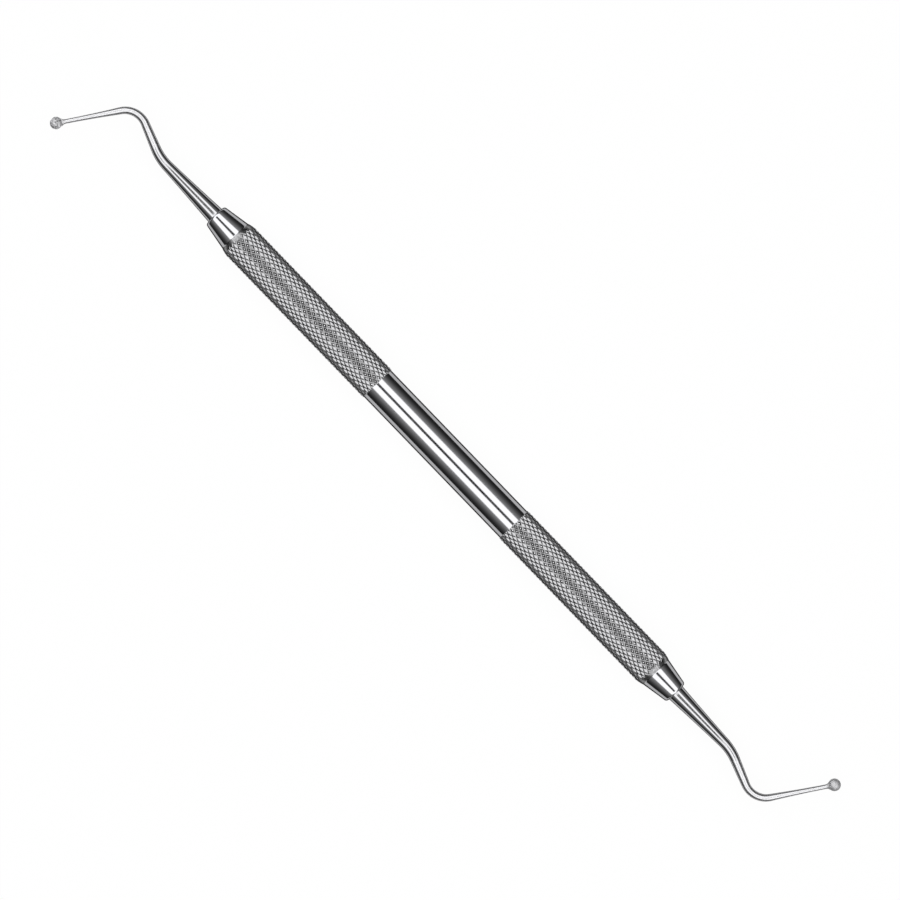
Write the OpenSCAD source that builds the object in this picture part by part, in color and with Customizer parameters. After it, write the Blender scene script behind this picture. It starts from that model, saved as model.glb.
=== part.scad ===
// Double-ended dental spoon excavator: a turned and knurled steel handle with a bent working end
// pressed into each nose. It lies flat: X runs along the handle, both working ends bend in the
// level plane through the handle's axis, and the crests of the knurl touch the table at Z = 0.

/* [Handle] */
// Diameter of the smooth middle
barrel_d = 6.0; // [5.5:0.1:8]
// Length of the smooth middle between the two grips
barrel_len = 31.0; // [20:0.5:45]
// Length of each knurled grip
grip_len = 32.2; // [20:0.1:37]
// Length of the plain cone from grip to nose
cone_len = 4.65; // [3:0.05:8]
// Diameter that the cone would have at the nose if its edge were sharp
nose_d = 4.05; // [3.8:0.05:4.6]
// Radius of the rounded edge at the nose
nose_round = 0.4; // [0.2:0.05:0.45]

/* [Knurl] */
// Rows of diamonds around the grip
knurl_teeth = 26; // [20:1:28]
// Angle between the grooves and the handle's axis
knurl_angle = 31.5; // [26:0.5:35]
// Height of the crests above the smooth middle
crest_height = 0.16; // [0.08:0.02:0.3]
// Depth of the grooves below the smooth middle
groove_depth = 0.16; // [0.08:0.02:0.3]
// Length of the short chamfer that starts the knurl beside the smooth middle
lead_len = 0.12; // [0.06:0.02:0.3]
// Length over which the knurl is turned away beside the cone
fade_len = 1.24; // [0.8:0.02:2.4]

/* [Socket and tang] */
// Diameter of the tang that sits in the nose
tang_d = 2.4; // [1.8:0.1:2.6]
// Length of the tang
tang_len = 10.0; // [6:0.5:14]
// Air between the tang and its socket, on the radius
fit_gap = 0.01; // [0:0.01:0.05]
// Room left between the tang and the drilled end of its socket
drill_room = 0.5; // [0.2:0.1:1.5]

/* [Shank] */
// Diameter where the shank leaves the nose
root_d = 2.96; // [2.7:0.02:3.1]
// Diameter where the first bend starts
first_bend_d = 1.8; // [1.5:0.05:2.2]
// Diameter where the second bend starts
second_bend_d = 1.36; // [1.2:0.02:1.6]
// Diameter where the arm leaves the second bend
arm_d = 1.12; // [0.9:0.02:1.3]
// Diameter of the arm at the spoon
neck_d = 0.7; // [0.6:0.02:0.78]
// Distance from the nose to the corner of the first bend
root_len = 12.55; // [10:0.05:16]
// Distance between the corners of the two bends
offset_len = 8.76; // [7:0.02:12]
// Distance from the second corner to the middle of the spoon
reach = 13.2; // [11:0.1:17]
// Turn of the first bend
first_turn = 21; // [10:1:30]
// Turn of the second bend, back across the handle's axis
second_turn = 78; // [60:1:90]
// Radius of the first bend, at the middle of the wire
first_bend_r = 9.0; // [6:0.5:12]
// Radius of the second bend, at the middle of the wire
second_bend_r = 3.5; // [2.5:0.1:4]

/* [Spoon] */
// Diameter of the rim
spoon_d = 2.0; // [1.7:0.05:2.6]
// Thickness from rim to back
spoon_depth = 0.76; // [0.7:0.02:0.84]
// Depth of the hollow
hollow_depth = 0.46; // [0.2:0.02:0.5]
// Width of the rim around the hollow
rim_width = 0.09; // [0.06:0.01:0.2]
// Length over which the neck swells into the spoon's back
flare_len = 0.6; // [0.4:0.05:1.2]
// Diameter of the swollen neck where it meets the rim
flare_d = 0.95; // [0.8:0.05:1.1]

/* [Hidden] */

barrel_r = barrel_d / 2;
crest_r = barrel_r + crest_height;
groove_r = barrel_r - groove_depth;
half_len = barrel_len / 2 + grip_len + cone_len;

// The knurl is drawn on rings of points, two to a tooth, half a diamond apart along the axis. The
// handle rests on the two rows of crests beside its lowest line, which are this far below the axis.
points_round = 2 * knurl_teeth;
rest_height = crest_r * cos(180 / points_round);
diamond_w = 2 * PI * crest_r / knurl_teeth;
diamond_len = diamond_w / tan(knurl_angle);
knurl_rows = round((grip_len - lead_len) / (diamond_len / 2));
row_len = (grip_len - lead_len) / knurl_rows;

// The cone starts a hair inside the last groove and runs to the nose.
cone_step = 0.02;
cone_start_r = groove_r - cone_step;
nose_r = nose_d / 2;
cone_slope = atan((cone_start_r - nose_r) / cone_len);
nose_steps = 6;

// Each bend takes this much wire from the straight lengths beside it.
first_cut = first_bend_r * tan(first_turn / 2);
second_cut = second_bend_r * tan(second_turn / 2);
root_run = root_len - first_cut;
offset_run = offset_len - first_cut - second_cut;
arm_run = reach - second_cut;
first_arc = first_bend_r * first_turn * PI / 180;

// Along the arm, the neck swells up to the rim, and its end stays inside the spoon's back.
rim_at = arm_run - spoon_d / 2;
wire_end_at = arm_run - spoon_d / 6;

// The root and the arm taper faster at their thick ends: powers above 1 hollow the taper out.
root_hollow = 1.15;
arm_hollow = 1.95;

// How finely the wire is drawn.
wire_sides = 20;
root_steps = 5;
first_bend_steps = 5;
second_bend_steps = 12;
arm_steps = 8;

// How far a cut runs on past the face that it opens.
cut_past = 1;

steel = [0.72, 0.73, 0.75];
knurl_steel = [0.6, 0.61, 0.63];
$fn = 96;

// Stands a shape drawn along Z onto the X axis.
module along_x() {
    rotate([0, 90, 0]) children();
}

// Rings of the knurl run from 0, at the smooth middle, to knurl_rows + 1, at the cone. Ring 0 is
// round, and from ring 1 on crests and grooves take turns, until the turned fade cuts them down.
// Points are counted from half a step beside the handle's lowest line.
function ring_x(j) = j == 0 ? 0 : lead_len + (j - 1) * row_len;
function fade_r(x) = crest_r - (crest_r - groove_r) * max(0, x - (grip_len - fade_len)) / fade_len;
function knurl_r(i, j) = j == 0 || (i + j) % 2 == 0 ? groove_r : min(crest_r, fade_r(ring_x(j)));
function knurl_point(i, j) =
    let (turn = 360 * (i + 0.5) / points_round, r = knurl_r(i, j))
    [r * cos(turn), r * sin(turn), ring_x(j)];

// One knurled grip from the smooth middle to its cone. Every small square between two rings is
// split from groove to groove, so each crest stands on four flat flanks.
module grip() {
    rings = [for (j = [0:knurl_rows + 1]) for (i = [0:points_round - 1]) knurl_point(i, j)];
    function at(i, j) = j * points_round + i % points_round;
    flanks = [
        for (j = [0:knurl_rows]) for (i = [0:points_round - 1])
            each (i + j) % 2 == 0
                ? [[at(i, j), at(i, j + 1), at(i + 1, j + 1)],
                   [at(i, j), at(i + 1, j + 1), at(i + 1, j)]]
                : [[at(i, j), at(i, j + 1), at(i + 1, j)],
                   [at(i + 1, j), at(i, j + 1), at(i + 1, j + 1)]]
    ];
    inner_end = [for (i = [0:points_round - 1]) at(i, 0)];
    outer_end = [for (i = [points_round - 1:-1:0]) at(i, knurl_rows + 1)];
    polyhedron(rings, concat(flanks, [inner_end, outer_end]));
}

// The plain cone. The round on its nose turns from the cone's slope to the flat end face.
module nose_cone() {
    round_at = [
        nose_r + nose_round * tan(cone_slope) - nose_round / cos(cone_slope),
        cone_len - nose_round
    ];
    nose_arc = [
        for (i = [0:nose_steps])
            let (a = cone_slope + (90 - cone_slope) * i / nose_steps)
            round_at + nose_round * [cos(a), sin(a)]
    ];
    rotate_extrude() polygon(concat([[0, 0], [cone_start_r, 0]], nose_arc, [[0, cone_len]]));
}

// One half of the handle outside the smooth middle.
module grip_and_nose() {
    translate([barrel_len / 2, 0, 0]) along_x() grip();
    translate([barrel_len / 2 + grip_len, 0, 0]) along_x() nose_cone();
}

// Blind drilling that takes a tang.
module socket() {
    depth = tang_len + drill_room;
    translate([half_len - depth, 0, 0])
        along_x() cylinder(h = depth + cut_past, d = tang_d + 2 * fit_gap);
}

module handle() {
    color(knurl_steel)
    difference() {
        union() {
            translate([-barrel_len / 2, 0, 0]) along_x() cylinder(h = barrel_len, r = barrel_r);
            grip_and_nose();
            rotate([0, 0, 180]) grip_and_nose();
        }
        socket();
        rotate([0, 0, 180]) socket();
    }
}

// Where a wire at point p with heading h gets to after a bend, to the left if turn is positive.
function left_of(h) = [-sin(h), cos(h)];
function ahead_of(h) = [cos(h), sin(h)];
function after_bend(p, h, r, turn) = p + sign(turn) * r * (left_of(h) - left_of(h + turn));

// The middle of the wire: corners between straight runs and bends, from the nose outwards.
bend_1_start = [root_run, 0];
bend_1_end = after_bend(bend_1_start, 0, first_bend_r, -first_turn);
bend_2_start = bend_1_end + offset_run * ahead_of(-first_turn);
arm_heading = second_turn - first_turn;
arm_start = after_bend(bend_2_start, -first_turn, second_bend_r, second_turn);
spoon_at = arm_start + arm_run * ahead_of(arm_heading);

// Diameters along the wire, a share t of the way through a run or a length s past the first.
function root_d_at(t) = first_bend_d + (root_d - first_bend_d) * pow(1 - t, root_hollow);
function offset_d_at(s) = lookup(s, [[0, first_bend_d], [first_arc + offset_run, second_bend_d]]);
function arm_d_at(t) = neck_d + (arm_d - neck_d) * pow(1 - t, arm_hollow);

// Stations along the wire, each a point, a heading and a diameter.
stations = [
    for (i = [0:root_steps])
        let (t = i / root_steps)
        [t * bend_1_start, 0, root_d_at(t)],
    for (i = [1:first_bend_steps])
        let (t = i / first_bend_steps, turn = -t * first_turn)
        [after_bend(bend_1_start, 0, first_bend_r, turn), turn, offset_d_at(t * first_arc)],
    for (i = [0:second_bend_steps])
        let (t = i / second_bend_steps, turn = t * second_turn)
        [after_bend(bend_2_start, -first_turn, second_bend_r, turn),
         turn - first_turn, second_bend_d + t * (arm_d - second_bend_d)],
    for (i = [1:arm_steps])
        let (t = i / arm_steps)
        [arm_start + t * (rim_at - flare_len) * ahead_of(arm_heading), arm_heading, arm_d_at(t)],
    [arm_start + rim_at * ahead_of(arm_heading), arm_heading, flare_d],
    [arm_start + wire_end_at * ahead_of(arm_heading), arm_heading, neck_d]
];

// The wire as one tapered round sweep through its stations.
module wire() {
    function ring(p, h, d) = [
        for (i = [0:wire_sides - 1])
            let (a = 360 * i / wire_sides, side = d / 2 * cos(a) * left_of(h))
            [p.x + side.x, p.y + side.y, d / 2 * sin(a)]
    ];
    last = len(stations) - 1;
    points = [for (s = stations) each ring(s[0], s[1], s[2])];
    function at(i, j) = j * wire_sides + i % wire_sides;
    skin = [
        for (j = [0:last - 1]) for (i = [0:wire_sides - 1])
            each [[at(i, j), at(i, j + 1), at(i + 1, j + 1)],
                  [at(i, j), at(i + 1, j + 1), at(i + 1, j)]]
    ];
    root_end = [for (i = [0:wire_sides - 1]) at(i, 0)];
    spoon_end = [for (i = [wire_sides - 1:-1:0]) at(i, last)];
    polyhedron(points, concat(skin, [root_end, spoon_end]));
}

// Tang, tapered root, two bends, arm and a spoon that faces +Z, in one piece, from the nose face.
// The tang runs on for its own radius inside the root.
module working_end() {
    rim_r = spoon_d / 2;
    rim_z = neck_d / 2;
    back_r = (rim_r * rim_r + spoon_depth * spoon_depth) / (2 * spoon_depth);
    hollow_rim_r = rim_r - rim_width;
    hollow_r = (hollow_rim_r * hollow_rim_r + hollow_depth * hollow_depth) / (2 * hollow_depth);
    difference() {
        union() {
            wire();
            translate([-tang_len, 0, 0]) along_x() cylinder(h = tang_len + tang_d / 2, d = tang_d);
            translate([spoon_at.x, spoon_at.y, rim_z - spoon_depth + back_r]) sphere(back_r);
        }
        translate([spoon_at.x, spoon_at.y, rim_z])
            cylinder(h = 2 * back_r, r = rim_r + flare_len);
        translate([spoon_at.x, spoon_at.y, rim_z - hollow_depth + hollow_r]) sphere(hollow_r);
    }
}

module upper_working_end() {
    color(steel) rotate([0, 0, 180]) translate([half_len, 0, 0]) working_end();
}

module lower_working_end() {
    color(steel) translate([half_len, 0, 0]) mirror([0, 0, 1]) working_end();
}

// Everything is lifted so that the crests of the knurl touch Z = 0.
translate([0, 0, rest_height]) {
    handle();
    upper_working_end();
    lower_working_end();
}
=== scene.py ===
# %% [markdown]
# # A double-ended spoon excavator
# This lesson dresses the measured solids of a small dental hand tool: a straight steel handle with
# two knurled grips, and at each end a thin bent shank with a round spoon. Everything is in metres,
# X runs along the handle, and the tool lies flat on the table at Z = 0.

from math import asin, atan, cos, degrees, pi, radians, sin, sqrt, tan

import bpy
import numpy as np
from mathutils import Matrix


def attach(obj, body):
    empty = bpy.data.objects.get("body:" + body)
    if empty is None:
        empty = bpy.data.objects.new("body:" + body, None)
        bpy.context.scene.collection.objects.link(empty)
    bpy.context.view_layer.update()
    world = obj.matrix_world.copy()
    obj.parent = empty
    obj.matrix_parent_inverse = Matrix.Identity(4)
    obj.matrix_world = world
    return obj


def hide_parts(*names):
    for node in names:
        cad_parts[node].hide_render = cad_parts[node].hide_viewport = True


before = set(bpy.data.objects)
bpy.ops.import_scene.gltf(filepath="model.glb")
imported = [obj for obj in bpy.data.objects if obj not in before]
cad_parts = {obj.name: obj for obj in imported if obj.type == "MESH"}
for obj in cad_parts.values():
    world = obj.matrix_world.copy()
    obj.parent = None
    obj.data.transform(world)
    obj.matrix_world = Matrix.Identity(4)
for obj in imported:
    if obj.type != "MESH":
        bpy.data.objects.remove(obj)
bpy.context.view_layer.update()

# %% [markdown]
# ## Sizes
# All lengths are written in millimetres, the way they stand on a drawing, and multiplied by MM
# where they are used. The handle's axis lies one crest radius above the table, because the tool
# rests on the crests of its knurl.

# %% Sizes of the handle
MM = 0.001
BARREL_R = 3.0 * MM
CREST_R = 3.152 * MM
GROOVE_R = 3.0 * MM
AXIS_Z = 3.1542 * MM
BARREL_END = 15.5 * MM
FADE_START = 46.6 * MM
FADED_R = 2.87 * MM
GRIP_END = 47.7 * MM
CONE_START_R = 2.82 * MM
NOSE_R = 2.025 * MM
NOSE_ROUND = 0.48 * MM
HALF_LEN = 52.35 * MM
HOLE_R = 1.5 * MM
print("handle:", 2 * HALF_LEN / MM, "mm long")

# %% [markdown]
# ## Helpers for working by selection
# Each operator works on what is selected, as it does under the hand. Faces, edges and points are
# picked by their place, so the same cell gives the same result however often it is run.


# %% Selecting by place
def put_down():
    """Leave edit mode and let go of everything."""
    if bpy.context.object and bpy.context.object.mode != "OBJECT":
        bpy.ops.object.mode_set(mode="OBJECT")
    bpy.ops.object.select_all(action="DESELECT")


def take_up(piece):
    """Make this piece the only one in hand."""
    put_down()
    piece.select_set(True)
    bpy.context.view_layer.objects.active = piece


def new_piece(name):
    """Name the primitive just added, with its place and turn moved into its mesh."""
    bpy.ops.object.transform_apply(location=True, rotation=True, scale=True)
    piece = bpy.context.object
    piece.name = piece.data.name = name
    return piece


def points(piece):
    """All points of the piece, one row each."""
    piece.update_from_editmode()
    found = np.empty(3 * len(piece.data.vertices))
    piece.data.vertices.foreach_get("co", found)
    return found.reshape(-1, 3)


def edit_points(piece, chosen):
    """Open the piece with these points selected: one true or false for each."""
    take_up(piece)
    mesh = piece.data
    mesh.polygons.foreach_set("select", np.zeros(len(mesh.polygons), bool))
    mesh.edges.foreach_set("select", np.zeros(len(mesh.edges), bool))
    mesh.vertices.foreach_set("select", np.asarray(chosen, bool))
    bpy.context.tool_settings.mesh_select_mode = (True, False, False)
    bpy.ops.object.mode_set(mode="EDIT")
    bpy.ops.mesh.select_mode(type="VERT")


def edit_all(piece):
    """Open the piece with everything selected."""
    take_up(piece)
    bpy.ops.object.mode_set(mode="EDIT")
    bpy.ops.mesh.select_all(action="SELECT")


def apply_modifier(piece, modifier):
    take_up(piece)
    bpy.ops.object.modifier_apply(modifier=modifier.name)


# %% [markdown]
# ## One diamond of the knurl
# A knurl is rolled or cut with two wheels whose ridges cross, so it leaves rows of small diamonds
# between two sets of slanting grooves. Sculpting three thousand of them one by one would be
# hopeless, so one diamond is modelled with care on the flat: a circle of four points, stretched to
# the diamond's length and width, and inset four times, for the floor of the groove, its soft root,
# the flank, and the shoulder under a small flat crest. The flank's slope matters most: at about 37
# degrees the side that faces the middle of the bar catches the light, and the other stays dark.

# %% One diamond
DIAMONDS_ROUND = 26
HALF_DIAMOND = 0.622 * MM
HALF_WIDTH = pi * GROOVE_R / DIAMONDS_ROUND
crest_rise = CREST_R - GROOVE_R
GROOVE_FLOOR = (0.055 * MM, 0.004 * MM)
ROOT_CURVE = (0.02 * MM, 0.012 * MM)
SHOULDER = (0.01 * MM, 0.006 * MM)
FLANK_RUN = 0.17 * MM

put_down()
bpy.ops.mesh.primitive_circle_add(
    vertices=4, radius=1, fill_type="NGON", rotation=(pi / 2, 0, 0)
)
grip = new_piece("knurled_grip")
edit_all(grip)
bpy.ops.transform.resize(value=(HALF_DIAMOND, 1, HALF_WIDTH))
flank_rise = crest_rise - GROOVE_FLOOR[1] - ROOT_CURVE[1] - SHOULDER[1]
for run, rise in (GROOVE_FLOOR, ROOT_CURVE, (FLANK_RUN, flank_rise), SHOULDER):
    bpy.ops.mesh.inset(thickness=run, depth=rise)
bpy.ops.object.mode_set(mode="OBJECT")
print("diamond:", len(grip.data.polygons), "faces,", np.ptp(points(grip), axis=0) / MM, "mm")
print("flank slope:", round(degrees(atan(flank_rise / FLANK_RUN)), 1), "degrees")

# %% [markdown]
# ## The flat sheet of diamonds
# Diamonds tile a plane by steps of half a diamond along and half a diamond across. Three array
# modifiers copy the one diamond: to its neighbour, along the grip, and around it. The sheet is made
# a little long at both ends and then cut square, because that is what the lathe does to the bar:
# the knurl stops at a clean circle with half diamonds left on it.

# %% Rows of diamonds
ROWS_ALONG = 28
CUT_SHARE = 0.3
SAME_POINT = 0.002 * MM
first_diamond_x = BARREL_END - CUT_SHARE * HALF_DIAMOND


def repeat(piece, count, step):
    row = piece.modifiers.new("row", "ARRAY")
    row.count = count
    row.use_relative_offset = False
    row.use_constant_offset = True
    row.constant_offset_displace = step
    apply_modifier(piece, row)


repeat(grip, 2, (HALF_DIAMOND, 0, HALF_WIDTH))
repeat(grip, ROWS_ALONG, (2 * HALF_DIAMOND, 0, 0))
repeat(grip, DIAMONDS_ROUND, (0, 0, 2 * HALF_WIDTH))
edit_all(grip)
bpy.ops.transform.translate(value=(first_diamond_x, 0, 0))
bpy.ops.mesh.remove_doubles(threshold=SAME_POINT)
bpy.ops.object.mode_set(mode="OBJECT")
print("sheet:", len(grip.data.polygons), "faces")

# %% [markdown]
# ## Cutting the sheet square
# On the real handle the knurl stops beside the smooth middle at a clean circle, with half diamonds
# left on it, because the middle is turned after the knurling. On the flat sheet that is one straight
# cut with the bisect operator. The other end is cut square too, past where the cone will be turned.

# %% Cutting the ends
BLANK_END = 48.6 * MM


def cut(piece, through, towards, clear):
    """Cut the piece with a plane, and clear away what lies in front of it or only draw the line."""
    edit_all(piece)
    bpy.ops.mesh.bisect(
        plane_co=through, plane_no=towards, clear_outer=clear, threshold=0.00001 * MM
    )
    bpy.ops.object.mode_set(mode="OBJECT")


cut(grip, (BARREL_END, 0, 0), (-1, 0, 0), clear=True)
cut(grip, (BLANK_END, 0, 0), (1, 0, 0), clear=True)
print("cut sheet:", len(grip.data.polygons), "faces")

# %% [markdown]
# ## Rolling the sheet round the bar
# A Simple Deform modifier bends the sheet into a tube. The bend angle belongs to the sheet's whole
# width, which is half a diamond more than the way round, so it is a little over a full turn and the
# zigzag edges close like a zip. Merging the doubles then makes the seam disappear.

# %% Rolling
sheet = points(grip)
sheet_width = np.ptp(sheet[:, 2])
wrap = grip.modifiers.new("wrap", "SIMPLE_DEFORM")
wrap.deform_method = "BEND"
wrap.deform_axis = "X"
wrap.angle = sheet_width / GROOVE_R
apply_modifier(grip, wrap)
rolled = points(grip)
middle_y = (rolled[:, 1].min() + rolled[:, 1].max()) / 2
middle_z = (rolled[:, 2].min() + rolled[:, 2].max()) / 2
edit_all(grip)
bpy.ops.transform.translate(value=(0, -middle_y, -middle_z))
bpy.ops.mesh.remove_doubles(threshold=0.003 * MM)
bpy.ops.mesh.normals_make_consistent(inside=False)
bpy.ops.object.mode_set(mode="OBJECT")
rolled = points(grip)
radii = np.hypot(rolled[:, 1], rolled[:, 2])
print("rolled:", radii.min() / MM, "to", radii.max() / MM, "mm")

# %% [markdown]
# ## The knurled blank
# On the real bar the smooth middle and the knurl are one skin. The open rim of the rolled sheet is
# extruded and drawn to a circle with the To Sphere operator: all its points lie in one plane round
# the axis, so a sphere through them meets that plane in a circle. From there each further ring is
# one more extrusion with a new radius, as if the bar were turned. The smooth middle gets a second
# ring close behind its lead: without it, smooth shading would lean the long faces along their whole
# length, and the dark line in the middle of the bar would blur.


# %% Turning from an open rim
def ring_at(piece, x):
    """Which points lie in the plane at x along the handle."""
    return np.abs(points(piece)[:, 0] - x) < 0.004 * MM


def make_round(piece, x, r):
    """Draw the selected ring to a circle of radius r in the plane at x."""
    bpy.ops.transform.tosphere(value=1)
    here = points(piece)
    chosen = np.empty(len(here), bool)
    piece.data.vertices.foreach_get("select", chosen)
    scale = r / np.hypot(here[chosen, 1], here[chosen, 2]).mean()
    bpy.ops.transform.resize(value=(1, scale, scale), center_override=(x, 0, 0))


def turn_from(piece, start, profile):
    """Extrude the rim at start through a list of (x, radius), and close it with a flat face."""
    edit_points(piece, ring_at(piece, start))
    for x, r in profile:
        bpy.ops.mesh.extrude_edges_move(TRANSFORM_OT_translate={"value": (x - start, 0, 0)})
        make_round(piece, x, r)
        start = x
    bpy.ops.mesh.edge_face_add()
    bpy.ops.object.mode_set(mode="OBJECT")


LEAD = 0.06 * MM
BLANK_R = 3.05 * MM
PAST_NOSE = 1 * MM
turn_from(grip, BARREL_END, [(BARREL_END - step, BARREL_R) for step in (LEAD, 2 * LEAD, BARREL_END)])
turn_from(grip, BLANK_END, [(BLANK_END + LEAD, BLANK_R), (HALF_LEN + PAST_NOSE, BLANK_R)])
print("blank:", len(grip.data.polygons), "faces")

# %% [markdown]
# ## Turning the cone and the nose
# Next to the cone the lathe tool has cut across the finished knurl: the diamonds run out on a short
# slant, then comes a plain cone, a rounded edge, and a flat face drilled for the shank. The tool's
# path is drawn once as a body of revolution, and a Boolean modifier keeps of the blank only what
# lies inside it. Cutting the diamonds by hand would never give such a true slant. The cone has a
# ring close to each end and a few between, so that its shading stays straight too.

# %% Turned outline
cone_slope = (CONE_START_R - NOSE_R) / (HALF_LEN - GRIP_END)
cone_turn = atan(cone_slope)
round_x = HALF_LEN - NOSE_ROUND
round_r = NOSE_R + NOSE_ROUND * cone_slope - NOSE_ROUND / cos(cone_turn)
nose_turns = np.linspace(cone_turn, pi / 2, 10)
nose_edge = [(round_x + NOSE_ROUND * sin(a), round_r + NOSE_ROUND * cos(a)) for a in nose_turns]
RING_SHARES = (0.01, 0.25, 0.5, 0.75, 0.99)
cone_start = np.array([GRIP_END + LEAD, CONE_START_R])
cone_rings = [cone_start + share * (nose_edge[0] - cone_start) for share in RING_SHARES]
HOLE_EDGE = 0.05 * MM
HOLE_DEPTH = 0.6 * MM
FACE_STEP = 0.0001 * MM
CLEAR_R = 3.4 * MM
fade_slope = (CREST_R - FADED_R) / (GRIP_END - FADE_START)
outline_start = -1 * MM
put_down()
bpy.ops.mesh.primitive_circle_add(
    vertices=256, radius=CLEAR_R, fill_type="NGON",
    location=(outline_start, 0, 0), rotation=(0, pi / 2, 0),
)
turned = new_piece("turned_outline")
turn_from(
    turned,
    outline_start,
    [
        (FADE_START - (CLEAR_R - CREST_R) / fade_slope, CLEAR_R),
        (GRIP_END, FADED_R),
        cone_start,
        *cone_rings,
        *nose_edge,
        (HALF_LEN + FACE_STEP, HOLE_R + HOLE_EDGE),
        (HALF_LEN - HOLE_EDGE, HOLE_R),
        (HALF_LEN - HOLE_DEPTH, HOLE_R),
    ],
)
edit_all(turned)
bpy.ops.mesh.normals_make_consistent(inside=False)
edit_all(grip)
bpy.ops.mesh.normals_make_consistent(inside=False)
cutting = grip.modifiers.new("turning", "BOOLEAN")
cutting.operation = "INTERSECT"
cutting.solver = "EXACT"
cutting.object = turned
apply_modifier(grip, cutting)
take_up(turned)
bpy.ops.object.delete()
edit_points(grip, ring_at(grip, 0))
bpy.ops.mesh.delete(type="ONLY_FACE")
bpy.ops.object.mode_set(mode="OBJECT")
print("half a handle:", len(grip.data.polygons), "faces")

# %% [markdown]
# ## The second half
# Both halves of the bar are the same, so the second is a copy turned half round, and the two rims
# meet in the middle of the smooth part. Where the tool's path only grazes a crest, the Boolean can
# leave a sliver open, so holes of up to eight sides are filled. The finished bar is then lifted to
# its height over the table, and its edges are shaded sharp only where they turn by more than
# thirty degrees.

# %% The whole handle
edit_all(grip)
bpy.ops.mesh.duplicate()
bpy.ops.transform.rotate(value=pi, orient_axis="Z", center_override=(0, 0, 0))
bpy.ops.mesh.select_all(action="SELECT")
bpy.ops.mesh.remove_doubles(threshold=SAME_POINT)
bpy.ops.mesh.fill_holes(sides=8)
bpy.ops.mesh.normals_make_consistent(inside=False)
bpy.ops.transform.translate(value=(0, 0, AXIS_Z))
bpy.ops.object.mode_set(mode="OBJECT")
handle = grip
handle.name = handle.data.name = "knurled_handle"
bpy.ops.object.shade_smooth_by_angle(angle=radians(30))
print("handle:", len(handle.data.polygons), "faces,", np.ptp(points(handle), axis=0) / MM, "mm")

# %% [markdown]
# ## The wire of a working end
# Each working end is forged and ground from one thin bar: a tapered root, a gentle bend, a second
# sharp bend that brings the arm back across the handle's axis, and a slender arm. It could be a
# bevelled curve, but a ring of points that is extruded step by step keeps an even skin and lets the
# taper follow the measured diameters. At each step the ring moves on, turns by its share of the
# bend, and shrinks. Without a window the rotate operator turns the other way, so the turn is
# entered with its sign changed.

# %% Measured run of the wire
ROOT_RUN, OFFSET_RUN, ARM_RUN = 12.55, 8.76, 13.2
ROOT_R, FIRST_R, SECOND_R, ARM_R, NECK_R = 1.48, 0.90, 0.68, 0.56, 0.35
FIRST_TURN, FIRST_BEND_R = radians(-21), 9.0
SECOND_TURN, SECOND_BEND_R = radians(78), 3.5
SPOON_R = 1.0
BACK_R = 1.038
FILLET_R = 0.9
first_cut = FIRST_BEND_R * tan(abs(FIRST_TURN) / 2)
second_cut = SECOND_BEND_R * tan(SECOND_TURN / 2)
root_run = ROOT_RUN - first_cut
offset_run = OFFSET_RUN - first_cut - second_cut
first_arc = FIRST_BEND_R * abs(FIRST_TURN)
second_arc = SECOND_BEND_R * SECOND_TURN
first_end_r = FIRST_R - (FIRST_R - SECOND_R) * first_arc / (first_arc + offset_run)
fillet_at = sqrt((BACK_R + FILLET_R) ** 2 - (NECK_R + FILLET_R) ** 2)
arm_run = ARM_RUN - second_cut - fillet_at


def stretch(length, count, turn, start_r, end_r, power=1):
    """Even steps along one stretch: how far, how much turn, and the radius after it."""
    return [
        (length / count, turn / count, end_r + (start_r - end_r) * (1 - i / count) ** power)
        for i in range(1, count + 1)
    ]


IN_NOSE = 0.25
ROOT_TAPER, ARM_TAPER = 1.15, 1.95
steps = [
    (IN_NOSE, 0.0, ROOT_R),
    *stretch(root_run, 16, 0.0, ROOT_R, FIRST_R, ROOT_TAPER),
    *stretch(first_arc, 10, FIRST_TURN, FIRST_R, first_end_r),
    *stretch(offset_run, 4, 0.0, first_end_r, SECOND_R),
    *stretch(second_arc, 26, SECOND_TURN, SECOND_R, ARM_R),
    *stretch(arm_run, 18, 0.0, ARM_R, NECK_R, ARM_TAPER),
]

# The fillet swells the neck almost to the round back of the spoon, and the last step ends inside it.
FILLET_SHARE = 0.96
INTO_SPOON, INNER_R = 0.12, 0.3
along_fillet = 0.0
for a in np.linspace(0, asin(fillet_at / (BACK_R + FILLET_R)) * FILLET_SHARE, 10)[1:]:
    ahead = FILLET_R * sin(a)
    steps.append((ahead - along_fillet, 0.0, NECK_R + FILLET_R * (1 - cos(a))))
    along_fillet = ahead
steps.append((INTO_SPOON, 0.0, INNER_R))
print("wire:", round(sum(s[0] for s in steps), 2), "mm in", len(steps), "steps")

# %% Drawing the wire
put_down()
start_x = HALF_LEN / MM - IN_NOSE
bpy.ops.mesh.primitive_circle_add(
    vertices=64,
    radius=ROOT_R * MM,
    fill_type="NGON",
    location=(start_x * MM, 0, 0),
    rotation=(0, pi / 2, 0),
)
shank = new_piece("working_end")
edit_all(shank)
place = np.array([start_x, 0.0])
heading = 0.0
thick = ROOT_R
for ahead, turn, r in steps:
    chord = ahead if turn == 0 else ahead * sin(abs(turn) / 2) / (abs(turn) / 2)
    way = heading + turn / 2
    move = chord * np.array([cos(way), sin(way)])
    place = place + move
    centre = (place[0] * MM, place[1] * MM, 0)
    bpy.ops.mesh.extrude_region_move(
        TRANSFORM_OT_translate={"value": (move[0] * MM, move[1] * MM, 0)}
    )
    if turn:
        bpy.ops.transform.rotate(value=-turn, orient_axis="Z", center_override=centre)
        heading += turn
    bpy.ops.transform.resize(value=(r / thick,) * 3, center_override=centre)
    thick = r
bpy.ops.mesh.select_all(action="SELECT")
bpy.ops.mesh.normals_make_consistent(inside=False)
bpy.ops.object.mode_set(mode="OBJECT")
arm_way = np.array([cos(heading), sin(heading)])
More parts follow.
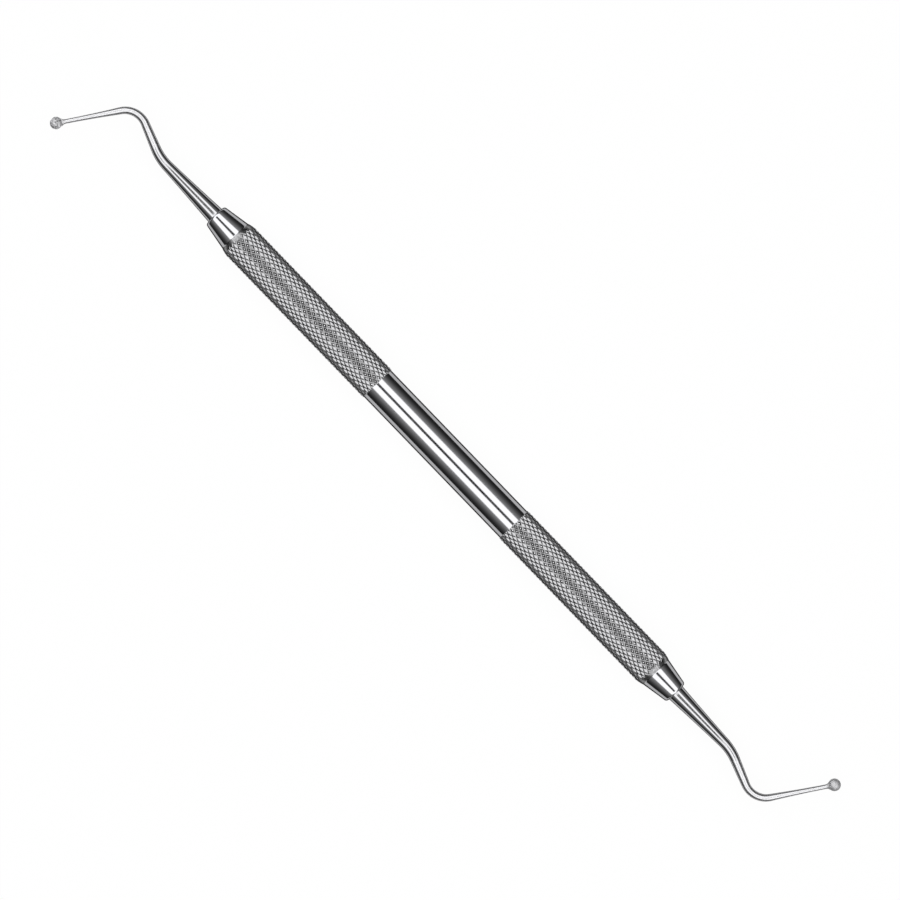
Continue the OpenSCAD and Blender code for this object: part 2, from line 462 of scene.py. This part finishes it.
spoon_at = place + (fillet_at - along_fillet - INTO_SPOON) * arm_way
print("spoon at", spoon_at, "heading", degrees(heading), "box", np.ptp(points(shank), axis=0) / MM)

# %% [markdown]
# ## The spoon
# The spoon is a little round cup, forged solid and then ground: first flat across its mouth, then
# hollowed. The same order works here. A sphere is joined to the swollen neck with a Boolean union,
# everything above the rim is planed off, and a smaller, flatter sphere scoops the hollow. The thin
# edge left between the two spheres is the cutting rim. One more cut, which clears nothing away,
# draws a line across the flat where the rim ends and the neck begins, so that rim and neck can have
# different finishes.

# %% Ball, rim and hollow
RIM_Z = 0.35
SPOON_DEPTH = 0.76
HOLLOW_DEPTH = 0.46
RIM_WIDTH = 0.05
hollow_rim_r = SPOON_R - RIM_WIDTH
hollow_ball_r = (hollow_rim_r**2 + HOLLOW_DEPTH**2) / (2 * HOLLOW_DEPTH)
spoon_x, spoon_y = spoon_at * MM


def ball(name, r, z, segments=96, rings=64):
    put_down()
    bpy.ops.mesh.primitive_uv_sphere_add(
        segments=segments, ring_count=rings, radius=r * MM, location=(spoon_x, spoon_y, z * MM)
    )
    return new_piece(name)


def combine(piece, other, operation):
    """Join or cut the piece with another body, which is used up."""
    joint = piece.modifiers.new(operation, "BOOLEAN")
    joint.operation = operation
    joint.solver = "EXACT"
    joint.object = other
    apply_modifier(piece, joint)
    take_up(other)
    bpy.ops.object.delete()


combine(shank, ball("back", BACK_R, RIM_Z - SPOON_DEPTH + BACK_R), "UNION")
PLANED_NECK = 0.62
PLANE_DEPTH = 2
put_down()
bpy.ops.mesh.primitive_cylinder_add(
    vertices=96,
    radius=(SPOON_R + PLANED_NECK) * MM,
    depth=PLANE_DEPTH * MM,
    location=(spoon_x, spoon_y, (RIM_Z + PLANE_DEPTH / 2) * MM),
)
combine(shank, new_piece("planing"), "DIFFERENCE")
combine(shank, ball("scoop", hollow_ball_r, RIM_Z - HOLLOW_DEPTH + hollow_ball_r), "DIFFERENCE")
neck_line = (spoon_at - (SPOON_R - RIM_WIDTH / 2) * arm_way) * MM
cut(shank, (*neck_line, 0), (*arm_way, 0), clear=False)
print("working end:", len(shank.data.polygons), "faces")

# %% [markdown]
# ## Two working ends
# The two ends are a mirror pair. One is the finished wire turned half round to the other nose, with
# its hollow up. The other stays where it is and is mirrored in height, so its hollow faces down.
# Mirroring turns a skin inside out, so its normals are made to point outwards again.

# %% Placing both ends
lower_end = shank
take_up(lower_end)
bpy.ops.object.duplicate()
upper_end = bpy.context.object
for piece, name in ((lower_end, "lower_spoon_and_shank"), (upper_end, "upper_spoon_and_shank")):
    piece.name = piece.data.name = name
edit_all(upper_end)
bpy.ops.transform.rotate(value=pi, orient_axis="Z", center_override=(0, 0, 0))
edit_all(lower_end)
bpy.ops.transform.resize(value=(1, 1, -1), center_override=(0, 0, 0))
for piece in (lower_end, upper_end):
    edit_all(piece)
    bpy.ops.mesh.remove_doubles(threshold=0.0002 * MM)
    bpy.ops.mesh.normals_make_consistent(inside=False)
    bpy.ops.transform.translate(value=(0, 0, AXIS_Z))
    bpy.ops.object.mode_set(mode="OBJECT")
    bpy.ops.object.shade_smooth_by_angle(angle=radians(35))
    print(piece.name, [round(c / MM, 2) for c in (*piece.bound_box[0], *piece.bound_box[6])])

# %% [markdown]
# ## Steel
# The whole tool is stainless steel. Metal has no colour of its own to speak of: what is seen is the
# room in its surface, so every finish is a metallic shader, and the finishes differ mostly in how
# smooth they are. On the knurl they also differ in brightness by height, which is painted light: a
# dark groove floor as painted shade and a bright crest as a painted highlight. The fine marks of
# turning and grinding go into the roughness and a faint bump, and on the ground hollow the same grain
# makes the colour uneven, which is its mottled look.


# %% Finishes of steel
GRAIN_LOW, GRAIN_HIGH = 0.35, 0.65
ROUGHNESS_SPREAD = 0.3
EVEN = (1, 1, 1)
ROUND_THE_BAR = (6, 0.6, 0.6)


def steel(name, colour, roughness, grain, grain_stretch, bump, depth, mottle=0):
    """Metal with a fine grain: how dense, how stretched, how deep in mm, and how uneven in colour."""
    finish = bpy.data.materials.new(name)
    finish.use_nodes = True
    nodes, links = finish.node_tree.nodes, finish.node_tree.links
    shader = nodes["Principled BSDF"]
    shader.inputs["Metallic"].default_value = 1
    place = nodes.new("ShaderNodeTexCoord")
    scaled = nodes.new("ShaderNodeMapping")
    scaled.inputs["Scale"].default_value = grain_stretch
    noise = nodes.new("ShaderNodeTexNoise")
    noise.inputs["Scale"].default_value = grain
    noise.inputs["Detail"].default_value = 4
    links.new(place.outputs["Object"], scaled.inputs["Vector"])
    links.new(scaled.outputs["Vector"], noise.inputs["Vector"])
    spread = nodes.new("ShaderNodeMapRange")
    spread.inputs["To Min"].default_value = roughness * (1 - ROUGHNESS_SPREAD)
    spread.inputs["To Max"].default_value = roughness * (1 + ROUGHNESS_SPREAD)
    links.new(noise.outputs["Fac"], spread.inputs["Value"])
    links.new(spread.outputs["Result"], shader.inputs["Roughness"])
    tint = nodes.new("ShaderNodeValToRGB")
    ends = ((GRAIN_LOW, 1 - mottle), (GRAIN_HIGH, 1 + mottle))
    for spot, (place_at, share) in zip(tint.color_ramp.elements, ends):
        spot.position = place_at
        spot.color = (*(share * c for c in colour), 1)
    links.new(noise.outputs["Fac"], tint.inputs["Fac"])
    links.new(tint.outputs["Color"], shader.inputs["Base Color"])
    relief = nodes.new("ShaderNodeBump")
    relief.inputs["Strength"].default_value = bump
    relief.inputs["Distance"].default_value = depth * MM
    links.new(noise.outputs["Fac"], relief.inputs["Height"])
    links.new(relief.outputs["Normal"], shader.inputs["Normal"])
    return finish


turned_steel = steel("turned_steel", (0.62, 0.62, 0.64), 0.10, 3000, ROUND_THE_BAR, 0.10, 0.002)
polished_steel = steel("polished_steel", (0.57, 0.57, 0.585), 0.10, 3000, EVEN, 0.06, 0.002)
satin_steel = steel("satin_steel", (0.66, 0.66, 0.675), 0.24, 3000, EVEN, 0.06, 0.002)
# The next three are one knurl steel in three brightnesses: painted shade on the groove floor, a little
# painted shade on the flanks, and a painted highlight on the crests.
shaded_groove_steel = steel("shaded_groove_steel", (0.32, 0.32, 0.325), 0.25, 2600, EVEN, 0.5, 0.02, 0.3)
dimmed_flank_steel = steel("dimmed_flank_steel", (0.45, 0.45, 0.46), 0.08, 2600, EVEN, 0.1, 0.002)
highlit_crest_steel = steel("highlit_crest_steel", (0.85, 0.85, 0.87), 0.28, 2600, EVEN, 0.1, 0.002)
ground_steel = steel("ground_steel", (0.52, 0.52, 0.53), 0.60, 3600, EVEN, 1.0, 0.04, 0.6)
buffed_steel = steel("buffed_steel", (0.62, 0.62, 0.63), 0.60, 3600, EVEN, 0.5, 0.02, 0.1)
print("finishes:", len(bpy.data.materials))

# %% [markdown]
# ## Giving out the finishes
# The smooth parts of the handle are turned. On the grips one steel is given three brightnesses by
# height, which is painted light: the floors of the grooves stay dull and are painted dark as shade in
# the recesses, the flanks carry the smooth print of the wheels and are painted a little darker, and
# the crests have a rougher rubbed finish and are painted bright as a highlight. The root of a working
# end is polished, the thin wire past its first bend is satin, the hollow and its rim are ground
# grainy, and the back of the spoon is buffed. Painting all this by hand on so many small faces would
# take days, so each face is given its finish by where it lies: its height over the groove, its place
# along the handle, or the sphere that it was cut by. Places on the spoon are in millimetres from its
# middle.


# %% Finishes on the pieces
def face_centres(piece):
    """Middles of all faces of the piece, one row each."""
    centres = np.empty(3 * len(piece.data.polygons))
    piece.data.polygons.foreach_get("center", centres)
    return centres.reshape(-1, 3)


def give(piece, finishes, chosen):
    """Give the piece its finishes, and each face the one with its number in chosen."""
    piece.data.materials.clear()
    for finish in finishes:
        piece.data.materials.append(finish)
    piece.data.polygons.foreach_set("material_index", chosen.astype(int))
    print(piece.name, np.bincount(chosen), [finish.name for finish in finishes])


centres = face_centres(handle)
along_bar = np.abs(centres[:, 0])
from_axis = np.hypot(centres[:, 1], centres[:, 2] - AXIS_Z)
rolled = (along_bar > BARREL_END) & (along_bar < GRIP_END)
over_groove = from_axis - GROOVE_R
on_flank = over_groove > GROOVE_FLOOR[1] + ROOT_CURVE[1]
on_crest = over_groove > crest_rise - SHOULDER[1]
# On the grips faces get painted shade low in the grooves and a painted highlight on the crests, by their
# height over the groove floor.
give(
    handle,
    [turned_steel, shaded_groove_steel, dimmed_flank_steel, highlit_crest_steel],
    np.where(rolled, 1 + on_flank + on_crest, 0),
)

ON_SURFACE = 0.02
SATIN_FROM = 66.5 * MM
NECK_END = 1.3
for piece, side, up in ((lower_end, 1, -1), (upper_end, -1, 1)):
    centres = face_centres(piece)
    away = (centres - (side * spoon_x, side * spoon_y, AXIS_Z)) / MM * (1, 1, up)
    scoop_middle = (0, 0, RIM_Z - HOLLOW_DEPTH + hollow_ball_r)
    on_scoop = np.abs(np.linalg.norm(away - scoop_middle, axis=1) - hollow_ball_r) < ON_SURFACE
    from_middle = np.hypot(away[:, 0], away[:, 1])
    on_flat = np.abs(away[:, 2] - RIM_Z) < ON_SURFACE
    on_rim = on_flat & (from_middle < SPOON_R)
    on_back = (from_middle < NECK_END) & ~on_flat
    past_root = np.abs(centres[:, 0]) > SATIN_FROM
    chosen = np.where(on_scoop | on_rim, 2, np.where(on_back, 3, past_root))
    give(piece, [polished_steel, satin_steel, ground_steel, buffed_steel], chosen)

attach(handle, "root")
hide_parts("handle")
for piece, node in ((upper_end, "upper_working_end"), (lower_end, "lower_working_end")):
    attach(piece, "root")
    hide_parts(node)

# %% [markdown]
# ## Light
# Steel shows its surroundings, so the light is drawn as the surroundings of a product table: a wide
# white canopy overhead, grey walls that fall off to dark at the height of the table, and the pale
# table itself below. Straight down there is a dark patch, painted shadow that stands for the table's
# shade right under the tool. The canopy is a tunnel along the handle, so its edge falls on the same
# share of every round bar, thick or thin. The thin dark line along the middle of the bar is a gap in
# the canopy, and it is there in the photograph only on the barrel, the cones and the roots. They lean
# differently, so each looks at another place overhead and has a short slit of its own there, and the
# arms look between the slits and stay white. Lamps could do none of this so exactly. The sky is
# written by direction in the world's shader, so it stays still while the camera moves.

# %% Canopy, walls and table
world = bpy.data.worlds.new("studio")
bpy.context.scene.world = world
world.use_nodes = True
nodes, links = world.node_tree.nodes, world.node_tree.links
nodes.clear()
look = nodes.new("ShaderNodeTexCoord")
parts = nodes.new("ShaderNodeSeparateXYZ")
links.new(look.outputs["Generated"], parts.inputs["Vector"])


def math_node(operation, *values, clamp=False):
    """One step of arithmetic on numbers or sockets."""
    step = nodes.new("ShaderNodeMath")
    step.operation = operation
    step.use_clamp = clamp
    for socket, value in zip(step.inputs, values):
        if isinstance(value, (int, float)):
            socket.default_value = value
        else:
            links.new(value, socket)
    return step.outputs["Value"]


squares = [math_node("MULTIPLY", parts.outputs[axis], parts.outputs[axis]) for axis in "YZ"]
reach = math_node("SQRT", math_node("ADD", *squares))
climb = math_node("DIVIDE", parts.outputs["Z"], math_node("MAXIMUM", reach, 0.0001))
height = math_node("MULTIPLY_ADD", climb, 0.5, 0.5)
bands = nodes.new("ShaderNodeValToRGB")
bands.color_ramp.interpolation = "LINEAR"
# The first two levels, straight down, are painted shadow: the table's shade right under the tool.
LEVELS = [
    (-1.0, 0.02),
    (-0.75, 0.02),
    (-0.69, 0.36),
    (-0.31, 0.42),
    (-0.22, 0.011),
    (0.02, 0.013),
    (0.155, 0.024),
    (0.28, 0.039),
    (0.395, 0.065),
    (0.50, 0.10),
    (0.595, 0.13),
    (0.745, 0.185),
    (0.795, 1.0),
]
ramp = bands.color_ramp.elements
while len(ramp) < len(LEVELS):
    ramp.new(0.5)
for spot, (z, level) in zip(ramp, LEVELS):
    spot.position = (z + 1) / 2
    spot.color = (level, level, level, 1)
links.new(height, bands.inputs["Fac"])

# Each slit's middle and half length along the handle, and its half width across it.
SLITS = {"barrel": (0.0, 0.05, 0.10), "root": (0.188, 0.022, 0.22), "cone": (0.405, 0.045, 0.09)}
SIDE_EDGE, END_EDGE = 12.0, 60.0
across = math_node("ABSOLUTE", parts.outputs["Y"])
along = math_node("ABSOLUTE", parts.outputs["X"])
lit = 1.0
for middle, half_length, half_width in SLITS.values():
    beside = math_node("MULTIPLY", math_node("SUBTRACT", across, half_width), SIDE_EDGE, clamp=True)
    from_middle = math_node("ABSOLUTE", math_node("SUBTRACT", along, middle))
    beyond = math_node("MULTIPLY", math_node("SUBTRACT", from_middle, half_length), END_EDGE, clamp=True)
    lit = math_node("MINIMUM", lit, math_node("MAXIMUM", beside, beyond))
below = math_node("LESS_THAN", parts.outputs["Z"], 0.0)
lit = math_node("MAXIMUM", lit, below)
CANOPY = 1.65
strength = math_node("MULTIPLY", lit, CANOPY)
shine = nodes.new("ShaderNodeBackground")
links.new(bands.outputs["Color"], shine.inputs["Color"])
links.new(strength, shine.inputs["Strength"])
white = nodes.new("ShaderNodeBackground")
white.inputs["Color"].default_value = (1, 1, 1, 1)
ray = nodes.new("ShaderNodeLightPath")
seen = nodes.new("ShaderNodeMixShader")
links.new(ray.outputs["Is Camera Ray"], seen.inputs["Fac"])
links.new(shine.outputs["Background"], seen.inputs[1])
links.new(white.outputs["Background"], seen.inputs[2])
out = nodes.new("ShaderNodeOutputWorld")
links.new(seen.outputs["Shader"], out.inputs["Surface"])
print("canopy strength", CANOPY)

# %% [markdown]
# ## Table
# The photograph's ground is plain white. A lit floor would have to be overexposed to look so, and
# the steel with it. So the camera sees mostly a plain white glow, with a small share of the real,
# softly lit surface mixed in, which keeps the tool's faint shadow.

# %% Floor
put_down()
bpy.ops.mesh.primitive_plane_add(size=1.2)
floor = new_piece("table_top")
PAPER_WHITE = 0.92
GLOW_SHARE = 0.96
table = bpy.data.materials.new("white_table")
table.use_nodes = True
nodes, links = table.node_tree.nodes, table.node_tree.links
nodes.clear()
paper = nodes.new("ShaderNodeBsdfDiffuse")
paper.inputs["Color"].default_value = (PAPER_WHITE, PAPER_WHITE, PAPER_WHITE, 1)
glow = nodes.new("ShaderNodeEmission")
glow.inputs["Strength"].default_value = 1
ray = nodes.new("ShaderNodeLightPath")
share = nodes.new("ShaderNodeMath")
share.operation = "MULTIPLY"
share.inputs[1].default_value = GLOW_SHARE
mixed = nodes.new("ShaderNodeMixShader")
out = nodes.new("ShaderNodeOutputMaterial")
links.new(ray.outputs["Is Camera Ray"], share.inputs[0])
links.new(share.outputs["Value"], mixed.inputs["Fac"])
links.new(paper.outputs["BSDF"], mixed.inputs[1])
links.new(glow.outputs["Emission"], mixed.inputs[2])
links.new(mixed.outputs["Shader"], out.inputs["Surface"])
floor.data.materials.append(table)
floor.visible_glossy = False
print("floor:", tuple(floor.dimensions), "m")

# %% [markdown]
# ## Camera
# The photograph looks straight down on the tool with a long lens, and the handle runs from the upper
# left to the lower right.

# %% Camera
LENS = 180
FRAME_WIDTH = 142.1 * MM
SENSOR_WIDTH = 36
PHOTO_TURN = 46.0125
VIEW_CENTRE = (0.03 * MM, 0.96 * MM)
bpy.ops.object.camera_add(
    location=(*VIEW_CENTRE, AXIS_Z + LENS / SENSOR_WIDTH * FRAME_WIDTH),
    rotation=(0, 0, radians(PHOTO_TURN)),
)
camera = bpy.context.object
camera.data.lens = LENS
camera.data.sensor_width = SENSOR_WIDTH
camera.data.clip_start = 0.01
bpy.context.scene.camera = camera
bpy.context.scene.view_settings.view_transform = "Standard"
